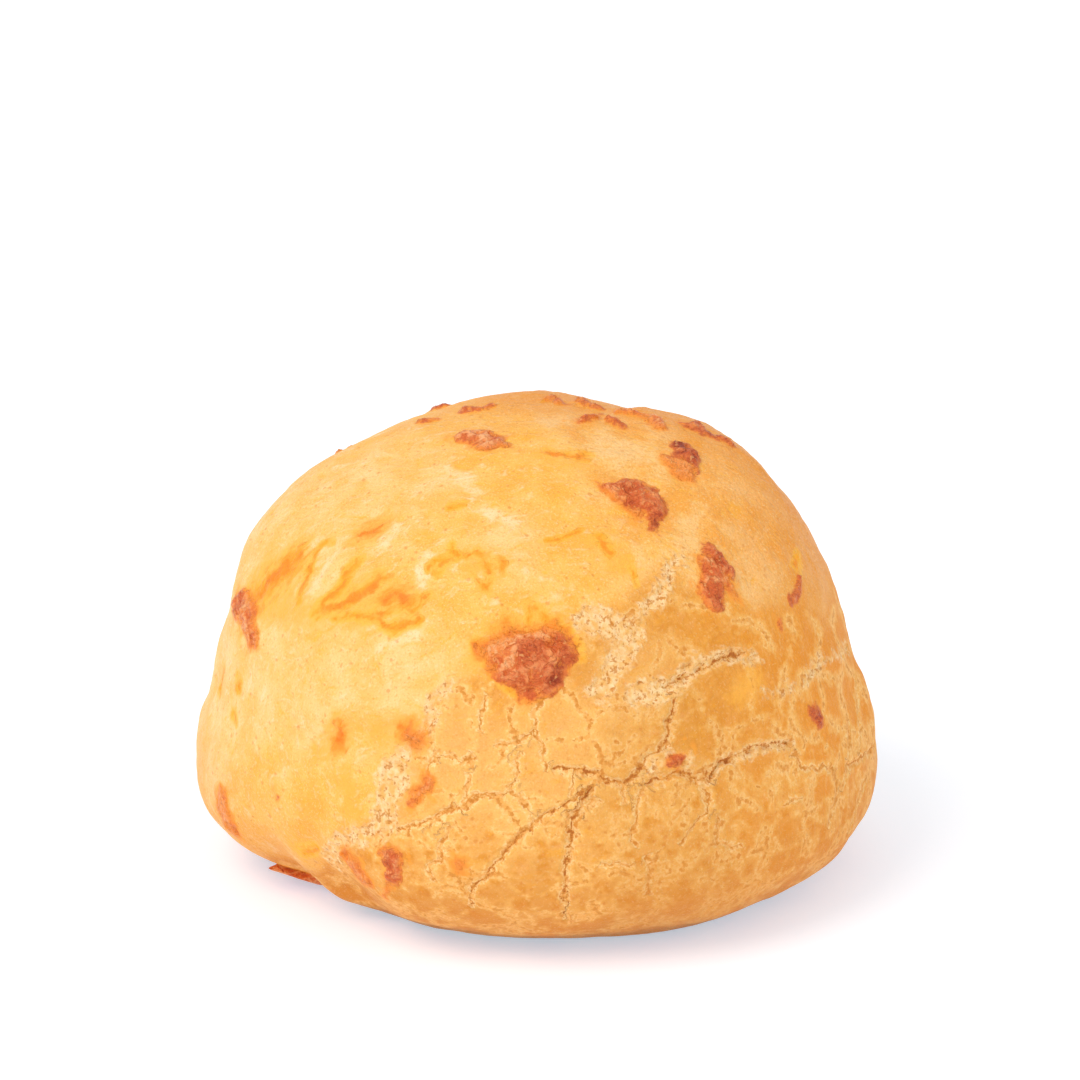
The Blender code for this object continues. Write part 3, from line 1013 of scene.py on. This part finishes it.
def grain_and_pores(n, c, colour):
    light = n.times(n.ramp(c.grain, 0.2, 1), n.ramp(c.zone, 0, 1, 0.35, 0.2))
    colour = n.mix(light, colour, (255, 226, 168))
    colour = n.mix(n.ramp(c.grain, -0.2, -1, end=0.45), colour, (224, 150, 66))
    pore = n.ramp(n.add(n.cells(1.1, "F1", n.warped(0.4, 0.1)), (c.patch, 0.12)), 0.22, 0.07)
    return n.mix(n.times(pore, n.ramp(c.dull, 0, 1, 0.5, 0.35)), colour, (214, 128, 46))


def melted_cheese(n, c, colour):
    """Melted cheese in stained dough, darker in its folds and along some of its edges."""
    stained = n.ramp(n.add(c.stain, (c.streak, 0.3), (c.blotch, -0.25), (c.small, 0.1)), 0.2, 1.1)
    colour = n.mix(n.times(stained, 0.8), colour, (251, 178, 70))
    thin = n.mix(c.warm, (252, 186, 66), (251, 182, 84))
    thick = n.mix(c.warm, (250, 170, 36), (245, 148, 42))
    dark = n.mix(c.warm, (247, 151, 38), (235, 121, 28))
    colour = n.mix(n.ramp(c.melting, -0.5, 0.15, end=0.85), colour, thin)
    thickness = n.add(c.melting, (c.streak, 0.35), (c.blotch, 0.2))
    colour = n.mix(n.ramp(thickness, 0, 0.9, end=0.85), colour, thick)
    folded = n.add(c.melting, (c.streak, -0.4), (c.small, 0.4))
    colour = n.mix(n.ramp(folded, 0.5, 1, end=0.8), colour, dark)
    border = n.ramp(n.math("ABSOLUTE", n.add(c.melting, -0.12)), 0.25, 0.04)
    broken = n.ramp(n.add(c.small, (c.worn, 0.5)), 0.1, 0.8)
    return n.mix(n.times(border, broken, 0.4), colour, dark)


def torn_crumb(n, c, colour):
    """Pale crumb in the tears, with painted shade in its small holes."""
    coarse = n.add(c.fine, (c.worn, 0.6))
    crumb = n.mix(n.ramp(coarse, -1, 1), (240, 182, 102), (253, 218, 164))
    colour = n.mix(c.torn, colour, crumb)
    # painted shade in the crumb's holes
    hole_shade = n.ramp(n.add((c.pitted, 0.8), (c.grain, 0.4), (c.worn, 0.3)), 0.1, 0.75)
    return n.mix(n.times(c.torn, hole_shade, 0.9), colour, (200, 126, 44))


def crack_shade(n, c, colour):
    """Painted shade along each crack, as pits in a row, and along the gaps between random cells."""
    hollow = n.math("SUBTRACT", n.add((c.pitted, 0.22), (c.worn, 0.1), (c.wide, 0.75), -0.06), c.named)
    line = n.times(n.ramp(hollow, -0.2, 0.1), n.ramp(c.wide, 0.02, 0.07))
    little_hollow = n.math("SUBTRACT", n.add((c.pitted, 0.2), c.uneven, (c.worn, 0.06)), c.random_gap)
    line = n.math("MAXIMUM", line, n.ramp(little_hollow, -0.18, 0.1, end=0.8))
    # painted shade in the cracks and the random gaps
    colour = n.mix(n.times(line, 0.9), colour, (208, 130, 44))
    # the darkest painted shade, deep in the wide cracks
    deepest_shade = n.times(n.ramp(hollow, 0, 0.2), n.ramp(c.wide, 0.1, 0.2), 0.9)
    return n.mix(deepest_shade, colour, (180, 102, 38))


def browned_cheese(n, c):
    """The colour of a lump and of its edge: browned by its burn, with painted shade in creases, painted pink
    highlights on folds and painted glints in spots.
    """
    # painted shade in the creases
    crease_shade = n.ramp(c.creased, 0.3, 0)
    uneven = n.add(c.burn, -0.06, (c.small, 0.4), (c.fine, 0.25), (c.grain, 0.1))
    # the burn, lighter on fold ridges and darker in creases: painted light and shade over the real browning
    heat_and_shade = n.add(uneven, (c.fold, -0.3), (crease_shade, 0.25))
    colour = n.mix(n.ramp(heat_and_shade, -0.2, 0.65), (242, 142, 66), (212, 100, 48))
    colour = n.mix(n.ramp(heat_and_shade, 0.6, 1.35), colour, (158, 62, 34))
    # painted pink highlights on the ridges of the folds
    folds = n.add((c.fold, 0.5), (c.creased, 0.35), (c.small, -0.3), (c.fine, -0.2), (c.grain, 0.1))
    pink_highlight = n.times(n.ramp(folds, 0.2, 0.8), n.ramp(c.burn, 0.3, 0.8, 1, 0.3))
    colour = n.mix(pink_highlight, colour, (247, 178, 122))
    # painted glints
    glint = n.ramp(n.add(c.fine, (c.grain, 0.5), (c.worn, 0.5)), 0.5, 1.2)
    colour = n.mix(n.times(glint, 0.6), colour, (240, 140, 58))
    edge = n.mix(n.ramp(heat_and_shade, 0.2, 0.9), (242, 142, 50), (220, 116, 56))
    return colour, edge


def cheese_lumps(n, c, colour):
    """Lumps of browned cheese in a stained ring, with crumbs over them."""
    core, edge = browned_cheese(n, c)
    ring = n.ramp(n.add(c.cheese, (c.small, 0.3)), -0.45, 0)
    ring = n.times(ring, n.ramp(n.add(c.worn, c.small), -0.8, 0.6, 0.1, 0.75))
    colour = n.mix(n.times(ring, n.ramp(c.burn, 0.4, 1, 1, 0.45)), colour, (249, 162, 58))
    colour = n.mix(n.ramp(c.cheese, -0.2, 0.2), colour, edge)
    colour = n.mix(n.ramp(n.add(c.cheese, (c.small, 0.2)), 0, 0.7), colour, core)
    crumbs = n.ramp(n.add(c.pitted, (c.small, 0.7), (c.worn, 0.3)), 0.75, 1.25)
    return n.mix(n.times(crumbs, n.ramp(c.cheese, -0.1, 0.3), 0.45), colour, (250, 190, 120))


def bump_height(n, c):
    """The relief in mm that is too fine for the mesh."""
    gap = n.add(n.math("ABSOLUTE", c.split), no_crack(n, c))
    return n.add(
        (c.small, 0.03),
        (c.fine, 0.03),
        (c.grain, 0.015),
        (c.blotch, n.ramp(c.zone, 0, 1, 0.05, 0)),
        (n.ramp(gap, 0, 0.7), 0.1),
        (c.torn, c.pitted, -0.03),
        (n.ramp(c.melting, -0.2, 0.15), c.streak, 0.09),
        (n.math("MAXIMUM", c.brown, n.times(c.dull, 0.6)), c.wrinkle, 0.03),
        (c.on_lump, n.ramp(c.creased, 0, 0.6), 0.1),
    )


# What lies over the dough and the plates, in this order
LAYERS = [
    *(toasting, plate_edges, painted_low_shade, grain_and_pores),
    *(melted_cheese, torn_crumb, crack_shade, cheese_lumps),
]


def crust_material():
    material = bpy.data.materials.new("crust")
    n = Nodes(material)
    c = crust_patterns(n)
    add_crack_distances(n, c)
    colour = n.mix(c.zone, smooth_dough(n, c), plates(n, c))
    for layer in LAYERS:
        colour = layer(n, c, colour)
    n.put(n.shader.inputs["Base Color"], colour)
    rough = n.math("SUBTRACT", n.ramp(c.zone, 0, 1, 0.46, 0.62), n.times(c.on_lump, 0.12))
    n.put(n.shader.inputs["Roughness"], rough)
    n.shader.inputs["Specular IOR Level"].default_value = 0.2
    n.shader.inputs["Subsurface Weight"].default_value = 0.08
    n.shader.inputs["Subsurface Radius"].default_value = (1, 0.45, 0.18)
    n.shader.inputs["Subsurface Scale"].default_value = 0.6 * MM
    bump = n.new("ShaderNodeBump")
    bump.inputs["Strength"].default_value = 1
    bump.inputs["Distance"].default_value = 1 * MM
    n.put(bump.inputs["Height"], bump_height(n, c))
    n.put(n.shader.inputs["Normal"], bump.outputs["Normal"])
    return material


# ---------------- studio

# In metres and degrees from here on
FLOOR_HALF = 3.0
FLOOR_GAP = 0.0001
CAMERA_ELEVATION = 20
CAMERA_DISTANCE = 0.6
CAMERA_AIM = Vector((0.0001, 0, 0.0319))
LIGHT_AIM = Vector((0, 0, 0.02))


def make_floor():
    material = bpy.data.materials.new("floor")
    material.use_nodes = True
    shader = material.node_tree.nodes["Principled BSDF"]
    shader.inputs["Base Color"].default_value = (0.85, 0.71, 0.62, 1)
    shader.inputs["Roughness"].default_value = 0.9
    shader.inputs["Specular IOR Level"].default_value = 0.1
    # a glow that, with the warm base colour, makes the lit floor white and keeps the shadow pale
    shader.inputs["Emission Color"].default_value = (0.46, 0.77, 1, 1)
    shader.inputs["Emission Strength"].default_value = 0.53
    mesh = bpy.data.meshes.new("floor")
    corners = [(x * FLOOR_HALF, y * FLOOR_HALF, 0) for x, y in ((-1, -1), (1, -1), (1, 1), (-1, 1))]
    mesh.from_pydata(corners, [], [(0, 1, 2, 3)])
    mesh.materials.append(material)
    floor = add_object("floor", mesh)
    floor.location.z = cad_box[0][2] - FLOOR_GAP


def make_camera():
    elevation = np.radians(CAMERA_ELEVATION)
    back = Vector((0, -np.cos(elevation), np.sin(elevation)))
    data = bpy.data.cameras.new("camera")
    data.sensor_width = 36
    data.lens = 212
    data.clip_end = 20
    camera = add_object("camera", data)
    camera.location = CAMERA_AIM + back * CAMERA_DISTANCE
    camera.rotation_euler = back.to_track_quat("Z", "Y").to_euler()
    bpy.context.scene.camera = camera


def add_area_light(name, location, size, power):
    data = bpy.data.lights.new(name, "AREA")
    data.shape = "DISK"
    data.size = size
    data.energy = power
    light = add_object(name, data)
    light.location = location
    light.rotation_euler = (light.location - LIGHT_AIM).to_track_quat("Z", "Y").to_euler()


def light_studio():
    world = bpy.data.worlds.new("studio")
    world.use_nodes = True
    background = world.node_tree.nodes["Background"]
    background.inputs["Color"].default_value = (1, 1, 1, 1)
    background.inputs["Strength"].default_value = 0.77
    bpy.context.scene.world = world
    add_area_light("key", (-0.71, -0.53, 1.06), 0.9, 8)
    add_area_light("fill", (0.95, -0.6, 0.6), 0.9, 1.5)
    bpy.context.scene.view_settings.view_transform = "Standard"


def main():
    crust = make_crust()
    crust.data.materials.append(crust_material())
    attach(crust, "root")
    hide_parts("bread")
    make_floor()
    make_camera()
    light_studio()


main()
